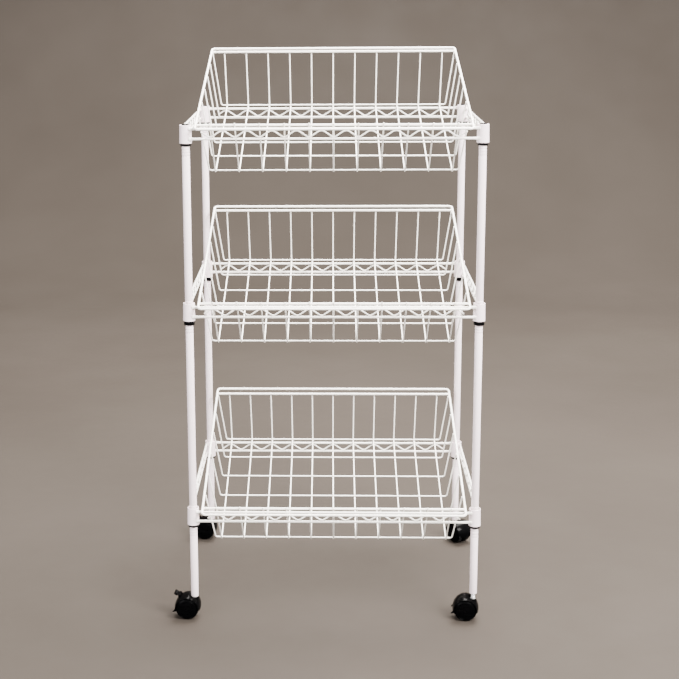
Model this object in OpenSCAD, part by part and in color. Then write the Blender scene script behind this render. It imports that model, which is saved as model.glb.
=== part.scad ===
// Rolling utility cart: a wire frame on four posts, three lift-out wire baskets
// that slope down to the front, and four twin-wheel swivel casters.
// Units are millimetres. +X is the cart's right, +Y its back, +Z up.
// The origin is on the floor, midway between the four posts.

/* [Frame] */
// Distance between post centres across the cart
post_span_x = 480; // [440:5:560]
// Distance between post centres from front to back
post_span_y = 360; // [340:5:420]
// Outer diameter of a post
post_d = 12.7; // [12:0.1:16]
// Wall thickness of a post
post_wall = 1.0; // [0.8:0.1:1.5]
// Height of a post's lower end above the floor
post_bottom = 40; // [40:0.5:60]
// Height of the bottom frame's collars above the floor
bottom_height = 171; // [150:2:220]
// Height of the middle frame's collars above the floor
middle_height = 529; // [480:2:600]
// Height of the top frame's collars above the floor
top_height = 824; // [781:2:901]

/* [Collars and rails] */
// Height of a corner collar
collar_h = 30; // [26:1:36]
// Outer diameter of a collar at its top
collar_top_d = 19.2; // [18:0.2:22]
// Outer diameter of a collar at its bottom
collar_bottom_d = 20.2; // [20:0.2:24]
// Diameter of a rail's rods
rail_d = 4; // [3:0.5:5]
// Diameter of the zigzag wire and the basket's thin wires
wire_d = 2.4; // [2:0.1:3]
// Height of a rail's upper rod above its collar's lower end
rail_upper = 24; // [22:0.5:27]
// Height of a rail's lower rod above its collar's lower end
rail_lower = 7.5; // [6:0.5:11]
// Pitch of the zigzag wire
zigzag_pitch = 40; // [30:1:50]

/* [Baskets] */
// Angle that a basket slopes down to the front
basket_tilt = 16; // [12:0.5:18]
// Outer width of a basket's rim
basket_w = 451; // [400:1:452]
// Length of a basket's rim along its slope, between wire centres
basket_len = 400; // [380:1:404]
// Width of a basket's floor between its outer wires' bends
floor_w = 417; // [360:1:430]
// Distance that the front rim reaches past the front rail
rim_reach = 14; // [12:0.5:18]
// Distance from the rim to the bar inside it
bar_inset = 18; // [16:0.5:24]
// Number of wires that run from front to back
cross_count = 11; // [7:2:13]
// Number of wires that run from side to side
long_count = 6; // [4:1:8]

/* [Casters] */
// Diameter of a caster wheel
wheel_d = 40; // [36:1:44]
// Distance from a caster's stem to its axle
caster_trail = 12.5; // [12:0.5:16]
// Direction that the front left caster trails, counted from the right
swivel_front_left = 176; // [0:1:360]
// Direction that the front right caster trails
swivel_front_right = 174; // [0:1:360]
// Direction that the rear left caster trails
swivel_rear_left = 172; // [0:1:360]
// Direction that the rear right caster trails
swivel_rear_right = 304; // [0:1:360]

/* [Hidden] */
$fn = 48;
TIERS = ["bottom", "middle", "top"];
CORNERS = ["front_left", "front_right", "rear_left", "rear_right"];
FRAME_PARTS = ["collars", "sleeves", "front_rail", "rear_rail", "side_rails"];
BASKET_PARTS = ["basket_floor", "basket_front", "basket_back", "basket_sides", "basket_rim_ends"];
CASTER_PARTS = ["caster", "axle", "wheel_a", "wheel_b"];

powder_white = "whitesmoke";
plastic_black = "dimgray";
steel_grey = "silver";

// Clearance between parts that move past or rest on each other
rest_gap = 0.3;
// Radial clearance of a part that turns on a pin
run_gap = 0.06;
// Radial clearance of a part that is pushed into another
push_gap = 0.05;

rail_r = rail_d / 2;
wire_r = wire_d / 2;
post_r = post_d / 2;
post_bore_r = post_r - post_wall;
tier_heights = [bottom_height, middle_height, top_height];
corner_places = [for (y = [-1, 1]) for (x = [-1, 1]) [x * post_span_x / 2, y * post_span_y / 2, 0]];
swivels = [swivel_front_left, swivel_front_right, swivel_rear_left, swivel_rear_right];
post_top = top_height + collar_h - 1;
// The front stems are screwed in to different depths
post_ends = [post_bottom - 0.8, post_bottom + 7.5, post_bottom, post_bottom];

// Locking grooves in the posts
groove_pitch = 5;
groove_w = 1;
groove_depth = 0.35;
groove_first = -21;
groove_count = 12;

// Split sleeves between post and collar
sleeve_drops = [4, 7, 4];
sleeve_top = collar_h - 5;
sleeve_split = 1;
collar_wall = 1.2;

// The rails stand this far outside the line of the post centres
rail_offset = 7;
rail_x = post_span_x / 2 + rail_offset;
rail_y = post_span_y / 2 + rail_offset;
// The zigzag wire ends this far short of the post centres
zigzag_end = 26;
front_phases = [1, 1, 0];
zigzag_top = rail_upper - rail_r - wire_r + 0.4;
zigzag_bottom = rail_lower + rail_r + wire_r - 0.4;

// A basket is drawn flat, with its front rim wire on the X axis, and then tilted.
// Its side rims rest on the front rail and its floor wires on the rear rail.
rim_y = -rail_y - rim_reach;
rim_z = rail_upper - rim_reach * tan(basket_tilt) + (rail_d + rest_gap) / cos(basket_tilt);
rear_rail_n = -(rail_y - rim_y) * sin(basket_tilt) + (rail_upper - rim_z) * cos(basket_tilt);
basket_depth = -rear_rail_n - rail_r - wire_r - rest_gap;
rim_half = (basket_w - rail_d) / 2;
rim_corner = 7;
cross_pitch_rim = 40;
cross_pitch_floor = 39.6;
floor_front = 69;
floor_back = 379.2;
// Thin wires that cross are welded this far apart, centre to centre
weld_step = wire_d - 0.3;
// A cross wire passes outside a bar and ends just past it
bar_step = rail_r + wire_r - 0.3;
front_tip_rise = 3.6;
back_tip_rise = -0.2;
long_first = floor_front + weld_step;
long_pitch = (floor_back - floor_front - 2 * weld_step) / (long_count - 1);
side_top_front = 52;
side_top_back = 372;

// Casters
wheel_r = wheel_d / 2;
web_half = 4;
boss_half = 4.5;
boss_r = wheel_r - 4;
wheel_in = 5;
wheel_out = 16;
axle_r = 2.5;
axle_half = 14;
hood_r = wheel_r + 2.6;
fender_r = hood_r - 0.4;
hood_inner_r = wheel_r + 0.8;
hood_half = 16.5;
hood_from = -14;
hood_to = 188;
horn_r = hood_r + 3;
horn_w = 4;
recess_r = 8;
recess_floor = 33;
socket_r = 4.6;
socket_top = 37;
pivot_r = 3.5;
pivot_bottom = 16;
thread_r = 4;
stem_top = post_bottom + 24;
lever_pin_r = 1.1;
lever_hub_r = 2.2;
lever_radius = hood_r + 2.6;
lever_angle = 57;
lever_x = caster_trail + lever_radius * cos(lever_angle);
lever_z = wheel_r + lever_radius * sin(lever_angle);
lever_len = 10;
lever_half = 7.3;
lever_hub = 5.2;
lever_rise = 28;

// A round rod from one point to another
module rod(a, b, r) {
    d = b - a;
    len = norm(d);
    translate(a) rotate([0, acos(d[2] / len), atan2(d[1], d[0])]) cylinder(h = len, r = r);
}

// Places children at each of the four posts
module at_posts() {
    for (p = corner_places) translate(p) children();
}

// Places children at the lower end of each post
module at_post_ends() {
    for (c = [0 : 3]) translate(corner_places[c] + [0, 0, post_ends[c]]) children();
}

// ---- Posts ----

// Outline points of one groove whose lower edge is at height z
function groove(z) = [
    [post_r, z],
    [post_r - groove_depth, z + groove_w / 4],
    [post_r - groove_depth, z + groove_w * 3 / 4],
    [post_r, z + groove_w]
];

module post(bottom) {
    outer = [for (h = tier_heights) for (i = [0 : groove_count - 1])
        for (p = groove(h + groove_first + i * groove_pitch)) if (p[1] < post_top - 1) p];
    color(powder_white) rotate_extrude() polygon(concat(
        [[post_bore_r, bottom], [post_r - 0.5, bottom], [post_r, bottom + 0.5]],
        outer,
        [[post_r, post_top], [post_bore_r, post_top]]
    ));
}

module post_caps() {
    color(plastic_black) at_posts() translate([0, 0, post_top]) rotate_extrude() polygon([
        [0, -9], [post_bore_r - push_gap - 0.4, -9], [post_bore_r - push_gap, -8.4],
        [post_bore_r - push_gap, 0], [post_r, 0], [post_r, 1.4], [post_r - 0.7, 2], [0, 2.3]
    ]);
}

module caster_sockets() {
    color(steel_grey) at_post_ends() difference() {
        cylinder(h = 24, r = post_bore_r - push_gap);
        translate([0, 0, -1]) cylinder(h = 26, r = thread_r);
    }
}

// ---- Corner collars, sleeves and rails ----

// The solid cone of a collar, grown by a wall offset
module collar_cone(offset, low, high) {
    slope = (collar_top_d - collar_bottom_d) / 2 / collar_h;
    r_low = collar_bottom_d / 2 + offset + slope * low;
    r_high = collar_bottom_d / 2 + offset + slope * high;
    translate([0, 0, low]) cylinder(h = high - low, r1 = r_low, r2 = r_high);
}

module collars(height) {
    color(powder_white) at_posts() translate([0, 0, height]) difference() {
        collar_cone(0, 0, collar_h);
        collar_cone(-collar_wall, -1, collar_h + 1);
    }
}

// Two half sleeves with a lip below the collar
module sleeves(height, drop) {
    lip_r = collar_bottom_d / 2 - collar_wall - push_gap;
    color(plastic_black) at_posts() translate([0, 0, height]) difference() {
        union() {
            collar_cone(-collar_wall - push_gap, 0, sleeve_top);
            translate([0, 0, -drop]) cylinder(h = drop, r = lip_r);
        }
        translate([0, 0, -drop - 1]) cylinder(h = drop + sleeve_top + 2, r = post_r + push_gap);
        translate([-20, -sleeve_split / 2, -drop - 1]) cube([40, sleeve_split, drop + sleeve_top + 2]);
    }
}

// Zigzag wire along X, with a lower bend at the middle if phase is 0 or an upper one if it is 1
module zigzag(half, phase) {
    step = zigzag_pitch / 2;
    last = floor(half / step);
    function level(i) = (i + phase) % 2 == 0 ? zigzag_bottom : zigzag_top;
    end_z = level(last) + (level(last + 1) - level(last)) * (half / step - last);
    for (i = [-last : last - 1])
        rod([i * step, 0, level(i)], [(i + 1) * step, 0, level(i + 1)], wire_r);
    for (s = [-1, 1])
        rod([s * last * step, 0, level(last)], [s * half, 0, end_z], wire_r);
}

// One flat rail between two collars that stand span apart, off their centre line by rail_offset
module rail(span, phase) {
    difference() {
        union() {
            for (z = [rail_upper, rail_lower])
                translate([-span / 2, 0, z]) rotate([0, 90, 0]) cylinder(h = span, r = rail_r);
            zigzag(span / 2 - zigzag_end, phase);
        }
        for (x = [-1, 1]) translate([x * span / 2, rail_offset, 0]) collar_cone(0, -1, collar_h + 1);
    }
}

module front_rail(height, phase) {
    color(powder_white) translate([0, -rail_y, height]) rail(post_span_x, phase);
}

module rear_rail(height) {
    color(powder_white) translate([0, rail_y, height]) rotate([0, 0, 180]) rail(post_span_x, 1);
}

module side_rails(height) {
    color(powder_white) for (side = [-1, 1])
        translate([side * rail_x, 0, height]) rotate([0, 0, side * 90]) rail(post_span_y, 0);
}

// ---- Baskets ----

module tilted(height) {
    translate([0, rim_y, height + rim_z]) rotate([basket_tilt, 0, 0]) children();
}

// Sideways place of a cross wire, given its number from the centre and the local pitch
function cross_numbers() = [for (i = [0 : cross_count - 1]) i - (cross_count - 1) / 2];

// Distance of a side-to-side wire along the floor, and of its end along the rim
function long_y(i) = long_first + i * long_pitch;
function side_top_y(i) = side_top_front + i * (side_top_back - side_top_front) / (long_count - 1);

module basket_floor(height) {
    color(powder_white) tilted(height) {
        for (k = cross_numbers())
            rod([k * cross_pitch_floor, floor_front, -basket_depth],
                [k * cross_pitch_floor, floor_back, -basket_depth], wire_r);
        for (i = [0 : long_count - 1])
            rod([-floor_w / 2, long_y(i), weld_step - basket_depth],
                [floor_w / 2, long_y(i), weld_step - basket_depth], wire_r);
    }
}

// A bar with the cross wires that rise to it from one end of the floor
module basket_end(height, floor_y, bar_y, outward, tip_rise) {
    color(powder_white) tilted(height) {
        rod([-rim_half, bar_y, 0], [rim_half, bar_y, 0], rail_r);
        for (k = cross_numbers())
            rod([k * cross_pitch_floor, floor_y, -basket_depth],
                [k * cross_pitch_rim, bar_y + outward * bar_step, tip_rise], wire_r);
    }
}

// Both side walls: a rim rod with the ends of the side-to-side wires
module basket_sides(height) {
    color(powder_white) tilted(height) for (side = [-1, 1]) {
        rod([side * rim_half, rim_corner, 0], [side * rim_half, basket_len - rim_corner, 0], rail_r);
        for (i = [0 : long_count - 1])
            rod([side * floor_w / 2, long_y(i), weld_step - basket_depth],
                [side * rim_half, side_top_y(i), 0], wire_r);
    }
}

// The front and back of the rim with their rounded corners
module basket_rim_ends(height) {
    straight = rim_half - rim_corner;
    color(powder_white) tilted(height) for (end = [0, 1])
        translate([0, end * basket_len, 0]) mirror([0, end, 0]) {
            rod([-straight, 0, 0], [straight, 0, 0], rail_r);
            translate([straight, rim_corner, 0]) rotate([0, 0, 270])
                rotate_extrude(angle = 90) translate([rim_corner, 0]) circle(r = rail_r);
            translate([-straight, rim_corner, 0]) rotate([0, 0, 180])
                rotate_extrude(angle = 90) translate([rim_corner, 0]) circle(r = rail_r);
        }
}

// ---- Casters, drawn with the stem on the Z axis and trailing along +X ----

module at_caster(corner) {
    translate(corner_places[corner]) rotate([0, 0, swivels[corner]]) children();
}

module at_axle() {
    translate([caster_trail, 0, wheel_r]) rotate([90, 0, 0]) children();
}

// The pivot, collar and thread of each stem
module caster_stems() {
    color(steel_grey) at_posts() rotate_extrude() polygon([
        [0, pivot_bottom], [pivot_r, pivot_bottom], [pivot_r, socket_top + rest_gap],
        [socket_r, socket_top + rest_gap], [socket_r, socket_top + 1.6],
        [thread_r, socket_top + 1.6], [thread_r, stem_top], [0, stem_top]
    ]);
}

// A slice of a ring between two angles, centred on the axle
module ring_sector(r_in, r_out, half, from, to) {
    translate([0, 0, -half]) rotate([0, 0, from]) rotate_extrude(angle = to - from)
        translate([r_in, 0]) square([r_out - r_in, 2 * half]);
}

// The crowned shell over both wheels
module hood_shell() {
    rotate([0, 0, hood_from]) rotate_extrude(angle = hood_to - hood_from) polygon([
        [hood_r, 0], [hood_r - 0.3, 6], [hood_r - 1.1, 11.5], [hood_r - 2.5, hood_half],
        [hood_inner_r - 2.2, hood_half], [hood_inner_r - 0.9, 13.4], [hood_inner_r, 11],
        [hood_inner_r, -11], [hood_inner_r - 0.9, -13.4], [hood_inner_r - 2.2, -hood_half],
        [hood_r - 2.5, -hood_half], [hood_r - 1.1, -11.5], [hood_r - 0.3, -6]
    ]);
}

// A pointed horn at each trailing corner of the shell
module hood_horns() {
    function at(r, angle) = [r * cos(angle), r * sin(angle)];
    for (z = [-hood_half + 0.2, hood_half - 0.2 - horn_w]) translate([0, 0, z])
        linear_extrude(height = horn_w) polygon([
            at(hood_inner_r + 0.2, hood_from + 1), at(horn_r, hood_from + 1),
            at(horn_r, hood_from + 2.5), at(hood_inner_r + 0.2, hood_from + 12)
        ]);
}

module caster_hood(corner, braked) {
    color(plastic_black) at_caster(corner) difference() {
        union() {
            // The round recess under the post is cut before the socket is added
            difference() {
                at_axle() {
                    ring_sector(boss_r - 3, fender_r, web_half, -44, 194);
                    translate([0, 0, -boss_half]) cylinder(h = 2 * boss_half, r = boss_r);
                    hood_shell();
                    hood_horns();
                }
                translate([0, 0, recess_floor]) cylinder(h = 40, r = recess_r);
            }
            translate([0, 0, pivot_bottom - 3]) cylinder(h = socket_top - pivot_bottom + 3, r = socket_r);
            if (braked) lever_ears();
        }
        translate([0, 0, pivot_bottom - rest_gap]) cylinder(h = 40, r = pivot_r + run_gap);
        at_axle() translate([0, 0, -30]) cylinder(h = 60, r = axle_r);
    }
}

// Two ears with a pin between them, on top of the hood
module lever_ears() {
    translate([lever_x, 0, lever_z]) rotate([90, 0, 0]) {
        for (z = [lever_hub + rest_gap, -lever_hub - rest_gap - 2]) {
            translate([0, 0, z]) cylinder(h = 2, r = 2.4);
            rotate([0, 0, lever_angle]) translate([-3.9, -2.2, z]) cube([3.9, 4.4, 2]);
        }
        translate([0, 0, -lever_hub - 1]) cylinder(h = 2 * lever_hub + 2, r = lever_pin_r);
    }
}

// A pin that ends inside the wheels
module axle(corner) {
    color(steel_grey) at_caster(corner) at_axle()
        translate([0, 0, -axle_half]) cylinder(h = 2 * axle_half, r = axle_r);
}

// One wheel with a rounded tread, a domed outer face and a blind bore
module wheel(corner, side) {
    color(plastic_black) at_caster(corner) at_axle() mirror([0, 0, side])
        rotate_extrude() polygon([
            [axle_r + run_gap, wheel_in], [wheel_r - 1.6, wheel_in], [wheel_r - 0.4, wheel_in + 0.5],
            [wheel_r, wheel_in + 1.8], [wheel_r, wheel_out - 5], [wheel_r - 0.9, wheel_out - 2.6],
            [wheel_r - 2.6, wheel_out - 0.9], [wheel_r - 6, wheel_out], [6, wheel_out + 0.8],
            [0, wheel_out + 1], [0, axle_half + rest_gap], [axle_r + run_gap, axle_half + rest_gap]
        ]);
}

module brake(corner) {
    color(plastic_black) at_caster(corner) translate([lever_x, 0, lever_z]) rotate([90, 0, 0])
        rotate([0, 0, lever_rise]) difference() {
            union() {
                translate([0, 0, -lever_hub]) cylinder(h = 2 * lever_hub, r = lever_hub_r);
                translate([1, -1.1, -lever_hub]) cube([3, 2.2, 2 * lever_hub]);
                translate([3, -2.2, -lever_half]) cube([lever_len - 3, 3.3, 2 * lever_half]);
            }
            translate([0, 0, -lever_hub - 1]) cylinder(h = 2 * lever_hub + 2, r = lever_pin_r + run_gap);
        }
}

// ---- Nodes ----

for (c = [0 : 3]) {
    translate(corner_places[c]) post(post_ends[c]);
    caster_hood(c, c % 2 == 0);
    axle(c);
    wheel(c, 0);
    wheel(c, 1);
}
post_caps();
caster_sockets();
caster_stems();
brake(0);  // brake_front_left
brake(2);  // brake_rear_left
for (t = [0 : 2]) {
    name = TIERS[t];
    z = tier_heights[t];
    collars(z);
    sleeves(z, sleeve_drops[t]);
    front_rail(z, front_phases[t]);
    rear_rail(z);
    side_rails(z);
    basket_floor(z);
    basket_end(z, floor_front, bar_inset, -1, front_tip_rise);
    basket_end(z, floor_back, basket_len - bar_inset, 1, back_tip_rise);
    basket_sides(z);
    basket_rim_ends(z);
}
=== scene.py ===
"""Looks of the rolling utility cart: three sloping wire baskets that lift out of a
white powder-coated wire frame, on four twin-wheel swivel casters.

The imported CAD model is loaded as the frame. Its wires, rails, collars, posts and casters
are rebuilt here with their bends, weld beads, rolled edges and finishes, in place.
Shapes are worked out in millimetres and become metres when a mesh is made.
"""

import math
import random

import bpy
from mathutils import Matrix, Vector


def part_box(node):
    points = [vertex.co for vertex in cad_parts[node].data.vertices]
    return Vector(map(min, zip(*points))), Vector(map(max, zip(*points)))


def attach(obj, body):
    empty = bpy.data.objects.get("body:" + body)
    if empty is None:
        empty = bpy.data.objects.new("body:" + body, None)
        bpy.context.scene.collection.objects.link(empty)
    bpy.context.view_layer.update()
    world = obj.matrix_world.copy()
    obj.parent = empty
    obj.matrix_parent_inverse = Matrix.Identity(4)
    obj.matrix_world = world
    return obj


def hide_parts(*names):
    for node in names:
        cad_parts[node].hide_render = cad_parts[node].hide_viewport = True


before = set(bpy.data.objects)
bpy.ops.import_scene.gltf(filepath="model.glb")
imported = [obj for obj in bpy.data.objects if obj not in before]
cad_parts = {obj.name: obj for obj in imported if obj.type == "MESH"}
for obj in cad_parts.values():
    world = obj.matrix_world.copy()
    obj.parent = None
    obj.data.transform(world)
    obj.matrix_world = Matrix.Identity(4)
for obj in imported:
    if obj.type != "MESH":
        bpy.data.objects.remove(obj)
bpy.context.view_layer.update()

MM = 0.001
TIERS = ("bottom", "middle", "top")
CORNERS = ("front_left", "front_right", "rear_left", "rear_right")

# ---------------------------------------------------------------- design values, mm

ROD = 2.0  # radius of the rails' rods and of a basket's rim and bars
WIRE = 1.2  # radius of the zigzag and of a basket's thin wires
WELD = 0.3  # how far two welded wires sink into each other

TILT = math.radians(16)
RIM_CORNER = 7
BAR_INSET = 18
CROSS_COUNT, LONG_COUNT = 11, 6
CROSS_PITCH_RIM, CROSS_PITCH_FLOOR = 40, 39.6
FLOOR_FRONT, FLOOR_BACK = 69, 379.2
FLOOR_HALF = 208.5
SIDE_TOP_FRONT, SIDE_TOP_BACK = 52, 372
FRONT_TIP_RISE, BACK_TIP_RISE = 3.6, -0.2
WIRE_BEND = 4.5

RAIL_UPPER, RAIL_LOWER = 24, 7.5
RAIL_OFFSET = 7
ZIGZAG_STEP = 20
ZIGZAG_END = 26
# Which way the zigzag bends at the middle of each front rail: 0 down, 1 up
FRONT_PHASES = {"bottom": 1, "middle": 1, "top": 0}
COLLAR_H = 30
COLLAR_LOW_R, COLLAR_HIGH_R = 10.1, 9.6
COLLAR_WALL = 1.2
POST_R = 6.35
POST_WALL = 1.0
GROOVE_PITCH, GROOVE_DEPTH = 5, 0.35
GROOVE_FIRST, GROOVE_COUNT = -21, 12
SOCKET_LEN = 24  # the threaded insert in a post's lower end
SLEEVE_DROPS = {"bottom": 4, "middle": 7, "top": 4}


def box_mm(node):
    """A CAD node's lowest and highest corners in millimetres."""
    lo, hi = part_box(node)
    return Vector(lo) / MM, Vector(hi) / MM


def centre_mm(node):
    lo, hi = box_mm(node)
    return (lo + hi) / 2


POSTS = {c: Vector((*centre_mm(f"post_{c}").xy, 0)) for c in CORNERS}
HEIGHTS = {t: box_mm(f"{t}_collars")[0].z for t in TIERS}
HALF_X = POSTS["front_right"].x
HALF_Y = POSTS["rear_right"].y


# ---------------------------------------------------------------- mesh building


class Shape:
    """Vertices and faces of one mesh, with a wear value for each vertex."""

    def __init__(self):
        self.points, self.faces, self.wear = [], [], []

    def add(self, points, faces, wear=0.0):
        base = len(self.points)
        self.points.extend(Vector(p) for p in points)
        self.faces.extend(tuple(base + i for i in f) for f in faces)
        self.wear.extend(wear if isinstance(wear, list) else [wear] * len(points))

    def make(self, name, finish, body, slot, *nodes, sharp=40):
        mesh = bpy.data.meshes.new(name)
        mesh.from_pydata([p * MM for p in self.points], [], self.faces)
        attribute = mesh.attributes.new("wear", "FLOAT", "POINT")
        attribute.data.foreach_set("value", self.wear)
        mesh.validate()
        mesh.shade_smooth()
        mesh.set_sharp_from_angle(angle=math.radians(sharp))
        mesh.materials.append(finish)
        piece = bpy.data.objects.new(name, mesh)
        bpy.context.scene.collection.objects.link(piece)
        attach(piece, body)
        if nodes:
            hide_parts(*nodes)
        return piece


def rounded(corners, radius, steps=7):
    """Points along a line of corners, each bent to the radius (one value or one per corner)."""
    corners = [Vector(c) for c in corners]
    points = [corners[0]]
    for i in range(1, len(corners) - 1):
        a, b, c = corners[i - 1 : i + 2]
        r = radius[i - 1] if isinstance(radius, (list, tuple)) else radius
        back, on = (a - b).normalized(), (c - b).normalized()
        half = back.angle(on) / 2
        if half > math.radians(89.5):
            points.append(b)
            continue
        reach = min(r / math.tan(half), 0.48 * (a - b).length, 0.48 * (c - b).length)
        r = reach * math.tan(half)
        centre = b + (back + on).normalized() * (r / math.sin(half))
        first, last = b + back * reach - centre, b + on * reach - centre
        turn = math.pi - 2 * half
        for k in range(steps + 1):
            t = k / steps
            spoke = (
                first * math.sin((1 - t) * turn) + last * math.sin(t * turn)
            ) / math.sin(turn)
            points.append(centre + spoke)
    points.append(corners[-1])
    return points


def tube(shape, points, radius, sides=14, closed=False, up=None, sections=None, wear=0.0):
    """Sweeps a round or flattened section along points. Open ends are slightly domed."""
    points = [Vector(p) for p in points]
    count = len(points)
    if closed:
        tangents = [
            (points[(i + 1) % count] - points[i - 1]).normalized() for i in range(count)
        ]
    else:
        tangents = [
            (points[min(i + 1, count - 1)] - points[max(i - 1, 0)]).normalized()
            for i in range(count)
        ]
    up = Vector(up) if up else Vector((0, 0, 1))
    if abs(tangents[0].dot(up)) > 0.9:
        up = Vector((1, 0, 0))
    normal = (up - tangents[0] * up.dot(tangents[0])).normalized()
    rings = []
    for i, (p, t) in enumerate(zip(points, tangents)):
        normal = (normal - t * normal.dot(t)).normalized()
        across = t.cross(normal)
        tall, wide = sections[i] if sections else (1, 1)
        rings.append((p, t, normal * tall, across * wide))
    if not closed:
        ends = []
        for back, scale in ((0.62, 0.35), (0.5, 0.68), (0.24, 0.93)):
            p, t, n, a = rings[0]
            ends.append((p - t * back * radius, t, n * scale, a * scale))
        tail = []
        for on, scale in ((0.24, 0.93), (0.5, 0.68), (0.62, 0.35)):
            p, t, n, a = rings[-1]
            tail.append((p + t * on * radius, t, n * scale, a * scale))
        rings = ends + rings + tail
    verts, faces = [], []
    for p, _, n, a in rings:
        for k in range(sides):
            angle = 2 * math.pi * k / sides
            verts.append(p + (n * math.cos(angle) + a * math.sin(angle)) * radius)
    total = len(rings)
    for i in range(total if closed else total - 1):
        j = (i + 1) % total
        for k in range(sides):
            m = (k + 1) % sides
            faces.append((i * sides + k, i * sides + m, j * sides + m, j * sides + k))
    if not closed:
        faces.append(tuple(range(sides - 1, -1, -1)))
        faces.append(tuple((total - 1) * sides + k for k in range(sides)))
    shape.add(verts, [f[::-1] for f in faces], wear)


def lathe(shape, profile, place, segments=48, closed=True, start=0.0, turn=2 * math.pi, wear=0.0):
    """Turns (radius, height) points about the Z axis of a place. Wear may be one per point."""
    full = abs(turn - 2 * math.pi) < 1e-6
    count = segments if full else segments + 1
    verts, faces, worn, index = [], [], [], {}
    size = len(profile)
    values = wear if isinstance(wear, (list, tuple)) else [wear] * size
    poles = [k for k in (0, size - 1) if full and not closed and profile[k][0] == 0]
    for i in range(count):
        angle = start + turn * i / segments
        for k, ((r, z), value) in enumerate(zip(profile, values)):
            if i and k in poles:
                index[i, k] = index[0, k]
                continue
            index[i, k] = len(verts)
            verts.append(place @ Vector((r * math.cos(angle), r * math.sin(angle), z)))
            worn.append(value)
    for i in range(segments):
        j = (i + 1) % count
        for k in range(size if closed else size - 1):
            m = (k + 1) % size
            corners = (index[i, k], index[j, k], index[j, m], index[i, m])
            faces.append(tuple(dict.fromkeys(corners)))
    if not full:
        faces.append(tuple(index[0, k] for k in range(size)))
        faces.append(tuple(index[count - 1, k] for k in range(size - 1, -1, -1)))
    elif not closed:
        if 0 not in poles:
            faces.append(tuple(index[i, 0] for i in range(count - 1, -1, -1)))
        if size - 1 not in poles:
            faces.append(tuple(index[i, size - 1] for i in range(count)))
    shape.add(verts, faces, worn)


def bead(shape, centre, radii, place=Matrix.Identity(3), rings=5, segments=8):
    """A small squashed weld bead."""
    verts, faces = [], []
    for i in range(1, rings):
        polar = math.pi * i / rings
        for k in range(segments):
            angle = 2 * math.pi * k / segments
            local = Vector(
                (
                    radii[0] * math.sin(polar) * math.cos(angle),
                    radii[1] * math.sin(polar) * math.sin(angle),
                    radii[2] * math.cos(polar),
                )
            )
            verts.append(centre + place @ local)
    top, low = len(verts), len(verts) + 1
    verts += [centre + place @ Vector((0, 0, radii[2])), centre - place @ Vector((0, 0, radii[2]))]
    for i in range(rings - 2):
        for k in range(segments):
            m = (k + 1) % segments
            a, b = i * segments, (i + 1) * segments
            faces.append((a + k, b + k, b + m, a + m))
    last = (rings - 2) * segments
    for k in range(segments):
        m = (k + 1) % segments
        faces.append((top, k, m))
        faces.append((low, last + m, last + k))
    shape.add(verts, faces)


def slab(shape, outline, low, high, edge, place, steps=3, wear=0.0):
    """A plate with an outline in its XY plane, from low to high, with rounded rims."""
    count = len(outline)
    flat = [Vector(p) for p in outline]
    inward = []
    for i in range(count):
        before = (flat[i] - flat[i - 1]).normalized()
        after = (flat[(i + 1) % count] - flat[i]).normalized()
        side = Vector((-before.y - after.y, before.x + after.x))
        side = side.normalized() if side.length > 1e-6 else Vector((-after.y, after.x))
        inward.append(side / max(0.5, side.dot(Vector((-after.y, after.x)))))
    loops = []
    for k in range(steps + 1):
        angle = math.pi / 2 * k / steps
        loops.append((edge * (1 - math.sin(angle)), low + edge * (1 - math.cos(angle))))
    loops += [(inset, high + low - z) for inset, z in reversed(loops)]
    verts, faces = [], []
    for inset, z in loops:
        for p, n in zip(flat, inward):
            q = p + n * inset
            verts.append(place @ Vector((q.x, q.y, z)))
    for i in range(len(loops) - 1):
        for k in range(count):
            m = (k + 1) % count
            a, b = i * count, (i + 1) * count
            faces.append((a + k, a + m, b + m, b + k))
    faces.append(tuple(range(count - 1, -1, -1)))
    top = (len(loops) - 1) * count
    faces.append(tuple(top + k for k in range(count)))
    shape.add(verts, faces, wear)


def arc(centre, radius, start, end, steps):
    """Points on an arc, with angles in degrees and a radius that may change along it."""
    first, last = radius if isinstance(radius, tuple) else (radius, radius)
    points = []
    for i in range(steps + 1):
        t = i / steps
        angle = math.radians(start + (end - start) * t)
        r = first + (last - first) * t
        points.append((centre[0] + r * math.cos(angle), centre[1] + r * math.sin(angle)))
    return points


def cut(shape, tool):
    """Takes one closed shape out of another and gives back what is left."""
    pieces = []
    for source in (shape, tool):
        mesh = bpy.data.meshes.new("cutting")
        mesh.from_pydata(source.points, [], source.faces)
        piece = bpy.data.objects.new("cutting", mesh)
        bpy.context.scene.collection.objects.link(piece)
        pieces.append(piece)
    change = pieces[0].modifiers.new("cut", "BOOLEAN")
    change.operation, change.solver, change.object = "DIFFERENCE", "EXACT", pieces[1]
    bpy.context.view_layer.update()
    result = pieces[0].evaluated_get(bpy.context.evaluated_depsgraph_get()).to_mesh()
    left = Shape()
    left.add([v.co.copy() for v in result.vertices], [tuple(p.vertices) for p in result.polygons])
    for piece in pieces:
        mesh = piece.data
        bpy.data.objects.remove(piece)
        bpy.data.meshes.remove(mesh)
    return left


# ---------------------------------------------------------------- finishes


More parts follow.
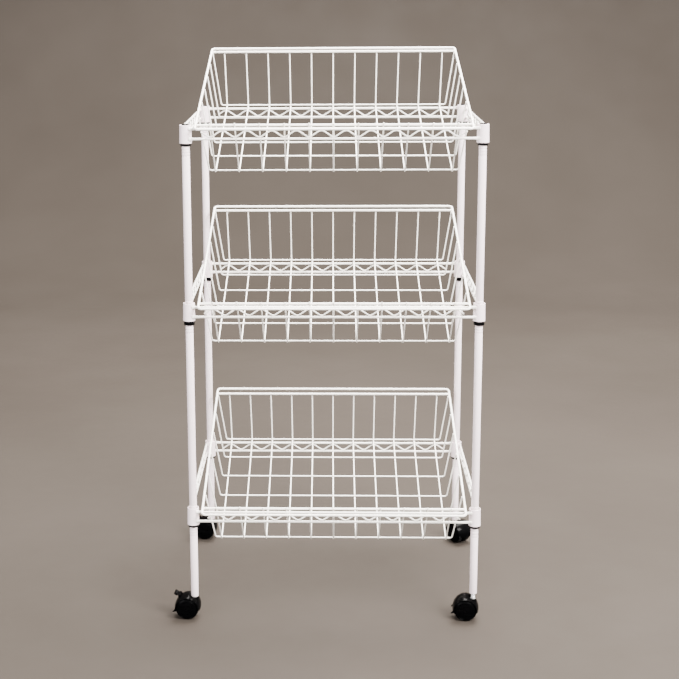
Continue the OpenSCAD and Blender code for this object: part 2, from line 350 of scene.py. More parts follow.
class Finish:
    """A Principled material with helpers for its procedural inputs."""

    def __init__(self, name):
        self.material = bpy.data.materials.new(name)
        self.material.use_nodes = True
        self.tree = self.material.node_tree
        self.shader = self.tree.nodes["Principled BSDF"]
        self.place = self.tree.nodes.new("ShaderNodeTexCoord").outputs["Object"]

    def node(self, kind, **values):
        node = self.tree.nodes.new(kind)
        for key, value in values.items():
            if hasattr(node, key):
                setattr(node, key, value)
            else:
                node.inputs[key].default_value = value
        return node

    def link(self, output, node, socket):
        self.tree.links.new(output, node.inputs[socket])

    def set(self, **values):
        for key, value in values.items():
            self.shader.inputs[key.replace("_", " ")].default_value = value

    def noise(self, scale, detail=2.0, roughness=0.5, stretch=None):
        node = self.node("ShaderNodeTexNoise", Scale=scale, Detail=detail, Roughness=roughness)
        source = self.place
        if stretch:
            mapping = self.node("ShaderNodeMapping")
            mapping.inputs["Scale"].default_value = stretch
            self.link(source, mapping, "Vector")
            source = mapping.outputs["Vector"]
        self.link(source, node, "Vector")
        return node.outputs["Fac"]

    def spread(self, output, low, high, to_low, to_high):
        """Maps a value from one range to another, clamped."""
        node = self.node("ShaderNodeMapRange")
        limits = {"From Min": low, "From Max": high, "To Min": to_low, "To Max": to_high}
        for key, value in limits.items():
            node.inputs[key].default_value = value
        self.link(output, node, "Value")
        return node.outputs["Result"]

    def mix(self, factor, first, second):
        """Mixes two colours, each a tuple or an output."""
        node = self.node("ShaderNodeMix", data_type="RGBA")
        self.link(factor, node, 0)
        for socket, value in ((6, first), (7, second)):
            if isinstance(value, tuple):
                node.inputs[socket].default_value = (*value, 1)
            else:
                self.tree.links.new(value, node.inputs[socket])
        return node.outputs[2]

    def times(self, first, second):
        node = self.node("ShaderNodeMath", operation="MULTIPLY")
        self.link(first, node, 0)
        if isinstance(second, (int, float)):
            node.inputs[1].default_value = second
        else:
            self.link(second, node, 1)
        return node.outputs["Value"]

    def worn(self):
        return self.node("ShaderNodeAttribute", attribute_name="wear").outputs["Fac"]

    def upward(self):
        """How far the surface faces up, from 0 to 1."""
        normal = self.node("ShaderNodeNewGeometry").outputs["Normal"]
        split = self.node("ShaderNodeSeparateXYZ")
        self.link(normal, split, "Vector")
        return self.spread(split.outputs["Z"], 0.2, 1.0, 0.0, 1.0)

    def crevice(self, distance):
        """Near 1 in corners between parts and 0 on open surfaces, from ambient occlusion: a mask for
        painted shade.
        """
        node = self.node("ShaderNodeAmbientOcclusion", samples=8)
        node.inputs["Distance"].default_value = distance
        return self.spread(node.outputs["AO"], 0.25, 0.85, 1.0, 0.0)

    def bump(self, layers):
        """Stacks (height, strength, distance in metres) layers."""
        last = None
        for height, strength, distance in layers:
            node = self.node("ShaderNodeBump", Strength=strength, Distance=distance)
            self.link(height, node, "Height")
            if last:
                self.link(last, node, "Normal")
            last = node.outputs["Normal"]
        self.link(last, self.shader, "Normal")


def powder_coat(name, colour, shade):
    """Sprayed and baked white: fine orange peel, faint clouds, dark specks and painted shade in the
    corners between parts.
    """
    f = Finish(name)
    cloud = f.spread(f.noise(14, 3, 0.6), 0.35, 0.68, 0.0, 1.0)
    tint = f.mix(cloud, colour, shade)
    # Painted shade: ambient occlusion darkens the white in the corners between parts, broken up by
    # noise.
    painted_shade = f.times(f.crevice(0.004), f.spread(f.noise(160, 4, 0.7), 0.42, 0.75, 0.15, 0.75))
    shaded_tint = f.mix(painted_shade, tint, (0.43, 0.38, 0.33))
    specks = f.spread(f.noise(520, 2, 0.5), 0.73, 0.78, 0.0, 0.35)
    f.link(f.mix(specks, shaded_tint, (0.50, 0.47, 0.43)), f.shader, "Base Color")
    f.link(f.spread(f.noise(95, 4, 0.6), 0.3, 0.7, 0.27, 0.44), f.shader, "Roughness")
    f.bump([(f.noise(620, 2, 0.45), 0.22, 0.00022), (f.noise(1900, 1, 0.5), 0.12, 0.00006)])
    f.set(IOR=1.52, Coat_Weight=0.25, Coat_Roughness=0.16)
    return f.material


def black_plastic(name, base, rough, grain, dust, worn_colour, gloss=0.5):
    """Moulded black plastic: fine grain, handling marks, some dust on top, worn where used."""
    f = Finish(name)
    marks = f.spread(f.noise(70, 6, 0.75, stretch=(1.0, 1.0, 3.5)), 0.5, 0.72, 0.0, 1.0)
    lighter = tuple(min(1.0, c * 1.8 + 0.0003) for c in base)
    colour = f.mix(marks, base, lighter)
    top = f.times(f.times(f.upward(), f.spread(f.noise(210, 5, 0.7), 0.35, 0.7, 0.1, 1.0)), dust)
    colour = f.mix(top, colour, (0.20, 0.18, 0.16))
    used = f.times(f.worn(), f.spread(f.noise(330, 5, 0.8), 0.3, 0.62, 0.15, 0.9))
    colour = f.mix(used, colour, worn_colour)
    f.link(colour, f.shader, "Base Color")
    smear = f.spread(f.noise(48, 5, 0.7), 0.3, 0.72, rough[0], rough[1])
    blend = f.node("ShaderNodeMix", data_type="FLOAT")
    f.link(used, blend, 0)
    f.link(smear, blend, 2)
    blend.inputs[3].default_value = 0.62
    f.link(blend.outputs[0], f.shader, "Roughness")
    f.bump([(f.noise(grain, 3, 0.55), 0.14, 0.00012), (f.noise(60, 2, 0.5), 0.10, 0.0003)])
    f.set(IOR=1.45, Specular_IOR_Level=gloss)
    return f.material


def zinc_steel(name):
    """Bright zinc plate with a faint spangle, turning marks and dull patches."""
    f = Finish(name)
    cell = f.node("ShaderNodeTexVoronoi", Scale=520.0)
    f.link(f.place, cell, "Vector")
    split = f.node("ShaderNodeSeparateColor")
    f.link(cell.outputs["Color"], split, "Color")
    colour = f.mix(split.outputs[0], (0.60, 0.61, 0.63), (0.72, 0.72, 0.71))
    dull = f.spread(f.noise(130, 5, 0.7), 0.48, 0.75, 0.0, 0.7)
    f.link(f.mix(dull, colour, (0.36, 0.34, 0.31)), f.shader, "Base Color")
    f.link(f.spread(f.noise(260, 4, 0.65), 0.3, 0.7, 0.22, 0.42), f.shader, "Roughness")
    f.bump([(f.noise(300, 3, 0.6, stretch=(1.0, 1.0, 6.0)), 0.16, 0.0001)])
    f.set(Metallic=1.0)
    return f.material


WIRE_WHITE = powder_coat("wire_white", (0.885, 0.855, 0.80), (0.85, 0.81, 0.745))
POST_WHITE = powder_coat("post_white", (0.87, 0.745, 0.77), (0.83, 0.70, 0.725))
SLEEVE_BLACK = black_plastic(
    "sleeve_black", (0.0015, 0.0015, 0.0017), (0.30, 0.46), 900, 0.03, (0.03, 0.03, 0.03), 0.05
)
CAP_BLACK = black_plastic(
    "cap_black", (0.0012, 0.0012, 0.0014), (0.50, 0.70), 700, 0.01, (0.02, 0.02, 0.02), 0.02
)
CASTER_BLACK = black_plastic(
    "caster_black", (0.0006, 0.0006, 0.0007), (0.11, 0.24), 800, 0.008, (0.010, 0.010, 0.010), 0.03
)
WHEEL_BLACK = black_plastic(
    "wheel_black", (0.0006, 0.0006, 0.0007), (0.13, 0.28), 600, 0.006, (0.018, 0.017, 0.016), 0.028
)
ZINC = zinc_steel("zinc_steel")


# ---------------------------------------------------------------- posts, caps, sockets


def groove_profile(z):
    """One rolled groove with soft lips, from its lower edge up."""
    r = POST_R
    d = GROOVE_DEPTH
    return [(r, z - 0.25), (r - 0.08, z), (r - d * 0.8, z + 0.2), (r - d, z + 0.5),
            (r - d * 0.8, z + 0.8), (r - 0.08, z + 1.0), (r, z + 1.25)]


def make_post(corner):
    low, high = box_mm(f"post_{corner}")
    shape = Shape()
    bore = POST_R - POST_WALL
    outer = [(bore, low.z + 0.25), (bore + 0.25, low.z), (POST_R - 0.5, low.z),
             (POST_R - 0.15, low.z + 0.15), (POST_R, low.z + 0.5)]
    for tier in TIERS:
        first = HEIGHTS[tier] + GROOVE_FIRST
        for i in range(GROOVE_COUNT):
            z = first + i * GROOVE_PITCH
            if z + 1.3 < high.z - 1:
                outer += groove_profile(z)
    outer += [(POST_R, high.z - 0.3), (POST_R - 0.3, high.z), (bore, high.z)]
    lathe(shape, outer, Matrix.Translation(POSTS[corner]), segments=40)
    shape.make(f"post_tube_{corner}", POST_WHITE, "cart", "powder_coat", f"post_{corner}", sharp=55)


def make_caps():
    shape = Shape()
    top = box_mm("post_front_left")[1].z
    plug = POST_R - POST_WALL - 0.1
    profile = [(0, top - 9), (plug - 0.6, top - 9), (plug, top - 8.2), (plug, top - 0.05),
               (POST_R - 0.25, top + 0.02), (POST_R, top + 0.3), (POST_R, top + 1.0),
               (POST_R - 0.25, top + 1.45), (POST_R - 0.9, top + 1.85),
               (POST_R - 2.4, top + 2.15), (2.2, top + 2.28), (0, top + 2.3)]
    for corner in CORNERS:
        lathe(shape, profile, Matrix.Translation(POSTS[corner]), segments=36, closed=False)
    shape.make("post_cap_set", CAP_BLACK, "cart", "sleeve_plastic", "post_caps")


def make_sockets():
    """Threaded inserts pressed into the posts' lower ends."""
    shape = Shape()
    outer, inner, high = POST_R - POST_WALL - 0.08, 4.12, SOCKET_LEN
    profile = [(inner + 0.4, 0), (outer - 0.3, 0), (outer, 0.3), (outer, high - 0.3),
               (outer - 0.3, high), (inner + 0.4, high), (inner, high - 0.4), (inner, 0.4)]
    for corner in CORNERS:
        low = box_mm(f"post_{corner}")[0].z
        lathe(shape, profile, Matrix.Translation(POSTS[corner] + Vector((0, 0, low))), segments=32)
    shape.make("post_socket_set", ZINC, "cart", "steel", "caster_sockets")


# ---------------------------------------------------------------- collars and sleeves


def make_collars(tier):
    shape = Shape()
    z = HEIGHTS[tier]
    low, high, wall = COLLAR_LOW_R, COLLAR_HIGH_R, COLLAR_WALL
    profile = [
        (low - wall + 0.15, z + 0.02), (low - 0.35, z), (low - 0.1, z + 0.12), (low, z + 0.45),
        (low - 0.03, z + 1.6), (low - 0.2, z + 10), (high + 0.12, z + 22), (high, z + COLLAR_H - 1.5),
        (high - 0.02, z + COLLAR_H - 0.4), (high - 0.16, z + COLLAR_H - 0.1),
        (high - 0.45, z + COLLAR_H), (high - wall + 0.2, z + COLLAR_H - 0.05),
        (high - wall, z + COLLAR_H - 0.4), (low - wall, z + 0.4),
    ]
    for corner in CORNERS:
        lathe(shape, profile, Matrix.Translation(POSTS[corner]), segments=44)
    shape.make(f"{tier}_collar_set", POST_WHITE, "cart", "powder_coat", f"{tier}_collars", sharp=60)


def make_sleeves(tier):
    """Two half sleeves at each post, with a lip that shows below the collar."""
    shape = Shape()
    z = HEIGHTS[tier]
    drop = SLEEVE_DROPS[tier]
    bore = POST_R + 0.06
    lip = COLLAR_LOW_R - COLLAR_WALL - 0.06
    top = z + COLLAR_H - 5
    top_r = COLLAR_HIGH_R + 0.1 - COLLAR_WALL - 0.06
    profile = [
        (bore + 0.3, z - drop), (lip - 0.6, z - drop), (lip - 0.15, z - drop + 0.15),
        (lip, z - drop + 0.6), (lip, z - 0.1), (lip - 0.02, z + 1), (top_r, top - 0.4),
        (top_r - 0.4, top), (bore + 0.3, top), (bore, top - 0.3), (bore, z - drop + 0.3),
    ]
    gap = 0.5 / lip
    for corner in CORNERS:
        for half in (0, 1):
            lathe(shape, profile, Matrix.Translation(POSTS[corner]), segments=20,
                  start=math.pi * half + gap, turn=math.pi - 2 * gap)
    shape.make(f"{tier}_sleeve_set", SLEEVE_BLACK, "cart", "sleeve_plastic", f"{tier}_sleeves")


# ---------------------------------------------------------------- rails


def rail_end(half, sign, z, collar_r):
    """The flattened tip of a rod where it lies on its collar, from the rod outwards."""
    around = collar_r + 0.75
    tips = []
    for dx, tall, wide in ((17, 1.0, 1.0), (13.5, 1.08, 0.9), (10.6, 1.25, 0.66),
                           (8.6, 1.38, 0.52), (6.4, 1.38, 0.46)):
        out = RAIL_OFFSET if dx > around else max(RAIL_OFFSET, math.sqrt(around**2 - dx**2))
        out = RAIL_OFFSET + (out - RAIL_OFFSET) * min(1, max(0, (14 - dx) / 6))
        tips.append((Vector((sign * (half - dx), out - RAIL_OFFSET, z)), (tall, wide)))
    return tips


def add_rail(shape, half, place, phase):
    """One flat rail: two rods with flattened ends and the zigzag welded between them.

    The rail lies along X, its rods on the X axis at two heights, and outward is -Y.
    The zigzag bends down at its middle if the phase is 0 and up if it is 1.
    """
    for z in (RAIL_UPPER, RAIL_LOWER):
        collar_r = COLLAR_LOW_R - (COLLAR_LOW_R - COLLAR_HIGH_R) * z / COLLAR_H
        left = rail_end(half, -1, z, collar_r)[::-1]
        right = rail_end(half, 1, z, collar_r)
        stations = left + right
        points = [place @ Vector((p.x, -p.y, p.z)) for p, _ in stations]
        up = place.to_3x3() @ Vector((0, 0, 1))
        tube(shape, points, ROD, sides=16, up=up, sections=[s for _, s in stations])
        for sign in (-1, 1):
            at = place @ Vector((sign * (half - 8.4), 0.4, z - 0.2))
            bead(shape, at, (2.6, 1.9, 2.9), place.to_3x3())
    high = RAIL_UPPER - ROD - WIRE + 0.4
    low = RAIL_LOWER + ROD + WIRE - 0.4
    reach = half - ZIGZAG_END
    last = int(reach // ZIGZAG_STEP)
    corners, bends = [], []
    # The corners stand past the rods so that the rounded bends just touch them
    def falls(i):
        return (i + phase) % 2 == 0

    def level(i):
        return low - 1.1 if falls(i) else high + 1.6

    part = reach / ZIGZAG_STEP - last
    end = level(last) + (level(last + 1) - level(last)) * part
    corners.append(Vector((-reach, 0, end)))
    for i in range(-last, last + 1):
        corners.append(Vector((i * ZIGZAG_STEP, 0, level(i))))
        bends.append(6.5 if falls(i) else 10)
    corners.append(Vector((reach, 0, end)))
    points = [place @ p for p in rounded(corners, bends, steps=8)]
    tube(shape, points, WIRE, sides=12, up=place.to_3x3() @ Vector((0, -1, 0)))
    for i in range(-last, last + 1):
        z = RAIL_LOWER + ROD if falls(i) else RAIL_UPPER - ROD
        at = place @ Vector((i * ZIGZAG_STEP, 0, z))
        bead(shape, at, (2.4, 1.15, 0.7), place.to_3x3())


def make_rails(tier):
    z = HEIGHTS[tier]
    y = HALF_Y + RAIL_OFFSET
    for side, sign, angle, phase in (("front", -1, 0, FRONT_PHASES[tier]), ("rear", 1, math.pi, 1)):
        shape = Shape()
        place = Matrix.Translation((0, sign * y, z)) @ Matrix.Rotation(angle, 4, "Z")
        add_rail(shape, HALF_X, place, phase)
        shape.make(f"{tier}_{side}_rail_wires", WIRE_WHITE, "cart", "powder_coat",
                   f"{tier}_{side}_rail")
    shape = Shape()
    for sign in (-1, 1):
        place = Matrix.Translation((sign * (HALF_X + RAIL_OFFSET), 0, z))
        add_rail(shape, HALF_Y, place @ Matrix.Rotation(sign * math.pi / 2, 4, "Z"), 0)
    shape.make(f"{tier}_side_rail_wires", WIRE_WHITE, "cart", "powder_coat", f"{tier}_side_rails")


# ---------------------------------------------------------------- baskets


def make_basket(tier):
    """A lift-out basket, drawn flat as (across, along, up) and then tilted into place."""
    rng = random.Random(TIERS.index(tier) + 11)
    low, high = box_mm(f"{tier}_basket_rim_ends")
    origin = Vector((0, low.y + ROD, low.z + ROD))
    place = Matrix.Translation(origin) @ Matrix.Rotation(TILT, 4, "X")
    turn = place.to_3x3()
    half = high.x - ROD
    length = (high.y - low.y - 2 * ROD) / math.cos(TILT)
    floor_low = box_mm(f"{tier}_basket_floor")[0].z
    depth = (origin.z + FLOOR_FRONT * math.sin(TILT) - floor_low) / math.cos(TILT) - WIRE
    body = f"{tier}_basket"

    rim = Shape()
    corners = [(half, length / 2, 0), (half, length, 0), (-half, length, 0), (-half, 0, 0),
               (half, 0, 0), (half, length / 2, 0)]
    loop = rounded(corners, RIM_CORNER, steps=10)[:-1]
    tube(rim, [place @ p for p in loop], ROD, sides=18, closed=True, up=turn @ Vector((0, 0, 1)))
    rim.make(f"{tier}_rim_loop", WIRE_WHITE, body, "powder_coat",
             f"{tier}_basket_rim_ends", f"{tier}_basket_sides")

    bars = Shape()
    bar_half = half - ROD - 0.4
    for along in (BAR_INSET, length - BAR_INSET):
        points = [(x, along, 0) for x in (-bar_half, -bar_half + 5, bar_half - 5, bar_half)]
        tube(bars, [place @ Vector(p) for p in points], ROD, sides=18, up=turn @ Vector((0, 0, 1)),
             sections=[(1.12, 0.92), (1, 1), (1, 1), (1.12, 0.92)])
        for sign in (-1, 1):
            bead(bars, place @ Vector((sign * (bar_half - 0.4), along, 0)), (1.7, 2.7, 2.2), turn)
    bars.make(f"{tier}_rim_bars", WIRE_WHITE, body, "powder_coat",
              f"{tier}_basket_front", f"{tier}_basket_back")

    numbers = [i - (CROSS_COUNT - 1) / 2 for i in range(CROSS_COUNT)]
    past = ROD + WIRE - WELD
    cross = Shape()
    for k in numbers:
        top, under = k * CROSS_PITCH_RIM, k * CROSS_PITCH_FLOOR
        rise = [FRONT_TIP_RISE + rng.uniform(-0.5, 0.5), BACK_TIP_RISE + rng.uniform(-0.2, 0.2)]
        corners = [(top, BAR_INSET - past, rise[0]), (under, FLOOR_FRONT, -depth),
                   (under, FLOOR_BACK, -depth), (top, length - BAR_INSET + past, rise[1])]
        tube(cross, [place @ p for p in rounded(corners, WIRE_BEND)], WIRE, sides=12,
             up=turn @ Vector((1, 0, 0)))
        for along in (BAR_INSET - past / 2 - 0.2, length - BAR_INSET + past / 2 + 0.2):
            bead(cross, place @ Vector((top, along, -0.1)), (1.5, 0.8, 1.5), turn)

    step = 2 * WIRE - WELD
    longs = Shape()
    first, last = FLOOR_FRONT + step, FLOOR_BACK - step
    for i in range(LONG_COUNT):
        t = i / (LONG_COUNT - 1)
        floor_y = first + (last - first) * t
        side_y = SIDE_TOP_FRONT + (SIDE_TOP_BACK - SIDE_TOP_FRONT) * t
        level = step - depth
        edge = half - ROD - WIRE + WELD
        corners = [(-edge, side_y, 1.4 + rng.uniform(-0.3, 0.3)), (-FLOOR_HALF, floor_y, level),
                   (FLOOR_HALF, floor_y, level), (edge, side_y, 1.4 + rng.uniform(-0.3, 0.3))]
        tube(longs, [place @ p for p in rounded(corners, WIRE_BEND)], WIRE, sides=12,
             up=turn @ Vector((0, 1, 0)))
        for sign in (-1, 1):
            bead(longs, place @ Vector((sign * (edge + 1.5), side_y, -0.1)), (0.8, 1.5, 1.5), turn)
        for k in numbers:
            x = k * CROSS_PITCH_FLOOR
            bead(cross, place @ Vector((x, floor_y, step / 2 - depth)), (1.45, 1.45, 0.62), turn)
    cross.make(f"{tier}_cross_wires", WIRE_WHITE, body, "powder_coat",
               f"{tier}_basket_front", f"{tier}_basket_floor", f"{tier}_basket_back")
    longs.make(f"{tier}_long_wires", WIRE_WHITE, body, "powder_coat",
               f"{tier}_basket_floor", f"{tier}_basket_sides")


# ---------------------------------------------------------------- casters

WHEEL_R = 20
WHEEL_IN, WHEEL_OUT = 5, 16
AXLE_R, AXLE_HALF = 2.5, 14
WEB_HALF = 4
BOSS_R, BOSS_HALF = 15.9, 4.5
HOOD_R, HOOD_IN, HOOD_HALF = 22.6, 20.8, 16.5
HOOD_FROM, HOOD_TO = -14, 188  # degrees around the axle, from the trailing side
HORN_R, HORN_W = HOOD_R + 3, 4
FENDER_R = HOOD_R - 0.4
RECESS_R, RECESS_FLOOR = 8, 33  # the round recess under a post
CUT_TOP = 60  # higher than any hood
SOCKET_R, SOCKET_TOP = 4.6, 37
PIVOT_BOTTOM, PIVOT_BORE = 16, 3.56
THREAD_R = 4


class Caster:
    """Places of one caster: its stem, its trailing direction and its axle."""

    def __init__(self, corner):
        self.corner = corner
        stem = POSTS[corner]
        axle = centre_mm(f"axle_{corner}")
        across = axle - stem
        self.trail = math.hypot(across.x, across.y)
        self.frame = Matrix.Translation(stem) @ Matrix.Rotation(
            math.atan2(across.y, across.x), 4, "Z"
        )
        # Plane of the web: X trails, Y is up and Z points to the caster's right
        upright = Matrix.Rotation(math.pi / 2, 4, "X")
        self.side = self.frame @ upright
        self.axle = self.frame @ Matrix.Translation((self.trail, 0, axle.z)) @ upright


def crown_section():
    """The shell's section as (radius, sideways) points: crowned outside, even wall inside."""
    reach, rows = HOOD_HALF - 0.3, 16
    section = []
    for k in range(rows + 1):
        y = reach * math.sin((2 * k / rows - 1) * math.pi / 2)
        section.append((HOOD_R - 2.5 * abs(y / HOOD_HALF) ** 2.1, y))
    half = [(HOOD_IN, 0), (HOOD_IN, 11), (HOOD_IN - 0.85, 13.4), (18.65, reach),
            (18.9, HOOD_HALF), (19.7, HOOD_HALF)]
    inner = [(r, y) for r, y in reversed(half)] + [(r, -y) for r, y in half[1:]]
    return section + inner


def shell_shape(caster):
    """The crowned shell over both wheels, before its recess is cut."""
    shape = Shape()
    ring = crown_section()
    size, steps = len(ring), 64
    middle = (HOOD_R + HOOD_IN) / 2
    verts, faces = [], []
    for i in range(steps + 1):
        angle = math.radians(HOOD_FROM + (HOOD_TO - HOOD_FROM) * i / steps)
        shrink = 0.35 if i in (0, steps) else 0.0
        for r, y in ring:
            r += (middle - r) * 0.45 * shrink
            spot = (r * math.cos(angle), r * math.sin(angle), y * (1 - 0.02 * shrink))
            verts.append(caster.axle @ Vector(spot))
    for i in range(steps):
        for k in range(size):
            m = (k + 1) % size
            faces.append((i * size + k, i * size + m, (i + 1) * size + m, (i + 1) * size + k))
    faces.append(tuple(range(size - 1, -1, -1)))
    faces.append(tuple(steps * size + k for k in range(size)))
    shape.add(verts, faces)
    return shape


def drill(caster, radius, low, segments):
    """A round tool on the stem's axis that cuts everything above a height."""
    tool = Shape()
    lathe(tool, [(0, low), (radius, low), (radius, CUT_TOP), (0, CUT_TOP)],
          caster.frame, segments=segments, closed=False)
    return tool


def web_shape(caster):
    """The web between the wheels with its narrow fenders, as one outline seen from the side."""
    centre = (caster.trail, WHEEL_R)
    wall = math.degrees(math.acos((RECESS_R - 0.5 - caster.trail) / FENDER_R))
    outline = arc(centre, FENDER_R, -44, wall, 48)
    outline += [(RECESS_R - 0.5, RECESS_FLOOR + 0.4), (RECESS_R - 0.9, RECESS_FLOOR)]
    outline += [(-5.2, RECESS_FLOOR)]
    outline += arc(centre, FENDER_R, 144.6, 191, 16)
    outline += arc(centre, (21.4, 20.6), 193.5, 194, 1)
    outline += arc(centre, 16, 197, 313, 26)
    outline += arc(centre, (20.4, 21.6), -46, -45, 1)
    shape = Shape()
    slab(shape, outline, -WEB_HALF, WEB_HALF, 0.5, caster.side)
    return shape


def boss_shape(caster):
    """The round boss around the axle, proud of both faces of the web."""
    shape = Shape()
    half, r = BOSS_HALF, BOSS_R
    lathe(shape, [(AXLE_R, -half), (r - 0.7, -half), (r, 0.5 - half), (r, half - 0.5),
                  (r - 0.7, half), (AXLE_R, half)], caster.axle, segments=56)
    return shape


def add_horns(shape, caster):
    """Pointed horns at the shell's trailing corners."""
    corners = [(HOOD_IN + 0.3, -13), (HORN_R - 0.4, -13.1), (HORN_R, -12.6),
               (HORN_R - 0.2, -11.4), (HOOD_IN + 0.3, -2)]
    horn = [(r * math.cos(math.radians(t)), r * math.sin(math.radians(t))) for r, t in corners]
    for low in (-HOOD_HALF + 0.2, HOOD_HALF - 0.2 - HORN_W):
        slab(shape, horn, low, low + HORN_W, 0.4, caster.axle)


def hood_shape(caster, braked):
    """The shell with its recess, the bored web and boss, the horns and the pivot's socket."""
    shape = cut(shell_shape(caster), drill(caster, RECESS_R, RECESS_FLOOR, 56))
    add_horns(shape, caster)
    bore = drill(caster, PIVOT_BORE, PIVOT_BOTTOM - 0.3, 36)
    for solid in (web_shape(caster), boss_shape(caster)):
        left = cut(solid, bore)
        shape.add(left.points, left.faces)
    lathe(shape, [(PIVOT_BORE, PIVOT_BOTTOM), (SOCKET_R, PIVOT_BOTTOM - 2),
                  (SOCKET_R, SOCKET_TOP - 0.5), (SOCKET_R - 0.4, SOCKET_TOP),
                  (PIVOT_BORE, SOCKET_TOP)], caster.frame, segments=36)
    if braked:
        add_ears(shape, caster)
    return shape


LEVER_RADIUS, LEVER_ANGLE = HOOD_R + 2.6, 57
LEVER_LEN, LEVER_HALF, LEVER_HUB, LEVER_RISE = 10, 7.3, 5.2, 28
RIB_HALF = 0.35


def lever_place(caster):
    """The lever's pin, on top of the shell."""
    turn = math.radians(LEVER_ANGLE)
    return caster.axle @ Matrix.Translation(
        (LEVER_RADIUS * math.cos(turn), LEVER_RADIUS * math.sin(turn), 0)
    )


def add_ears(shape, caster):
    """Two ears on the shell with the lever's pin between them."""
    place = lever_place(caster)
    down = Matrix.Rotation(math.radians(LEVER_ANGLE), 4, "Z")
    ear = arc((0, 0), 2.35, -90, 90, 12) + [(-1.6, 2.35), (-3.9, 2.6), (-3.9, -2.6), (-1.6, -2.35)]
    for low in (LEVER_HUB + 0.35, -LEVER_HUB - 2.25):
        slab(shape, ear, low, low + 1.9, 0.35, place @ down)
    lathe(shape, [(0, -6.6), (1.1, -6.6), (1.1, 6.6), (0, 6.6)], place, segments=20, closed=False)


def make_brake(caster):
    """The brake lever: a hub on the pin, a narrow neck and a thick wide toe."""
    shape = Shape()
    place = lever_place(caster) @ Matrix.Rotation(math.radians(LEVER_RISE), 4, "Z")
    hub = [(1.2, -LEVER_HUB + 0.05), (1.9, -LEVER_HUB + 0.05), (2.2, -LEVER_HUB + 0.35),
           (2.2, LEVER_HUB - 0.35), (1.9, LEVER_HUB - 0.05), (1.2, LEVER_HUB - 0.05)]
    lathe(shape, hub, place, segments=28)
    # Outlines seen from above
    flat = place @ Matrix.Rotation(-math.pi / 2, 4, "X")
    neck, toe, end = LEVER_HUB - 0.2, LEVER_HALF, LEVER_LEN
    slab(shape, [(1.4, -neck), (4, -neck), (4, neck), (1.4, neck)], -1.05, 1.05, 0.3, flat)
    outline = arc((end - 1.6, toe - 1.6), 1.6, 0, 90, 5) + arc((3.9, toe - 0.9), 0.9, 90, 180, 3)
    outline += [(x, -y) for x, y in reversed(outline)]
    slab(shape, outline, -2.2, 1.1, 0.5, flat)
    # Grip ribs across the toe
    for x in (4.9, 6.4, 7.9):
        near, far, reach = x - RIB_HALF, x + RIB_HALF, toe - 1.4
        rib = [(near, -reach), (far, -reach), (far, reach), (near, reach)]
        slab(shape, rib, 0.6, 1.35, 0.2, flat, wear=0.5)
    shape.make(f"brake_lever_{caster.corner}", CASTER_BLACK, f"brake_{caster.corner}",
               "caster_plastic", f"brake_{caster.corner}")


def make_wheel(caster, letter, side):
    """One wheel: rounded tread and a domed face with a faint ring and a moulding mark."""
    shape = Shape()
    place = caster.axle @ Matrix.Scale(side, 4, (0, 0, 1))
    r, bore, end = WHEEL_R, AXLE_R + 0.06, AXLE_HALF + 0.3
    profile = [
        (0, end), (bore, end), (bore, WHEEL_IN + 0.2), (2.8, WHEEL_IN), (7.5, WHEEL_IN),
        (8, WHEEL_IN + 0.5), (16.5, WHEEL_IN + 0.5), (17, WHEEL_IN), (r - 1.7, WHEEL_IN),
        (r - 0.9, WHEEL_IN + 0.2), (r - 0.3, WHEEL_IN + 0.75), (r, WHEEL_IN + 1.8), (r, 9),
        (r, WHEEL_OUT - 5), (r - 0.2, WHEEL_OUT - 4), (r - 0.9, WHEEL_OUT - 2.6),
        (r - 1.7, WHEEL_OUT - 1.6), (r - 2.6, WHEEL_OUT - 0.9), (r - 3.4, WHEEL_OUT - 0.5),
        (r - 3.7, WHEEL_OUT - 0.75), (r - 4, WHEEL_OUT - 0.45), (r - 6, WHEEL_OUT),
        (11, WHEEL_OUT + 0.35), (8.5, WHEEL_OUT + 0.6), (6, WHEEL_OUT + 0.8), (3, WHEEL_OUT + 0.98),
        (1.6, WHEEL_OUT + 1), (1.3, WHEEL_OUT + 0.75), (0, WHEEL_OUT + 0.75),
    ]
    wear = [1.0 if p[0] >= r - 0.35 and 6 < p[1] < 14 else 0.0 for p in profile]
    lathe(shape, profile, place, segments=72, closed=False, wear=wear)
    if side < 0:
        shape.faces = [f[::-1] for f in shape.faces]
    shape.make(f"wheel_{letter}_tyre_{caster.corner}", WHEEL_BLACK,
               f"wheel_{letter}_{caster.corner}", "wheel_plastic", f"wheel_{letter}_{caster.corner}")


def make_axle(caster):
    """A steel pin that ends inside the wheels."""
    shape = Shape()
    half, r = AXLE_HALF, AXLE_R
    profile = [(0, -half), (r - 0.4, -half), (r, 0.4 - half), (r, half - 0.4), (r - 0.4, half),
               (0, half)]
    lathe(shape, profile, caster.axle, segments=32, closed=False)
    shape.make(f"axle_pin_{caster.corner}", ZINC, f"swivel_{caster.corner}", "steel",
               f"axle_{caster.corner}")


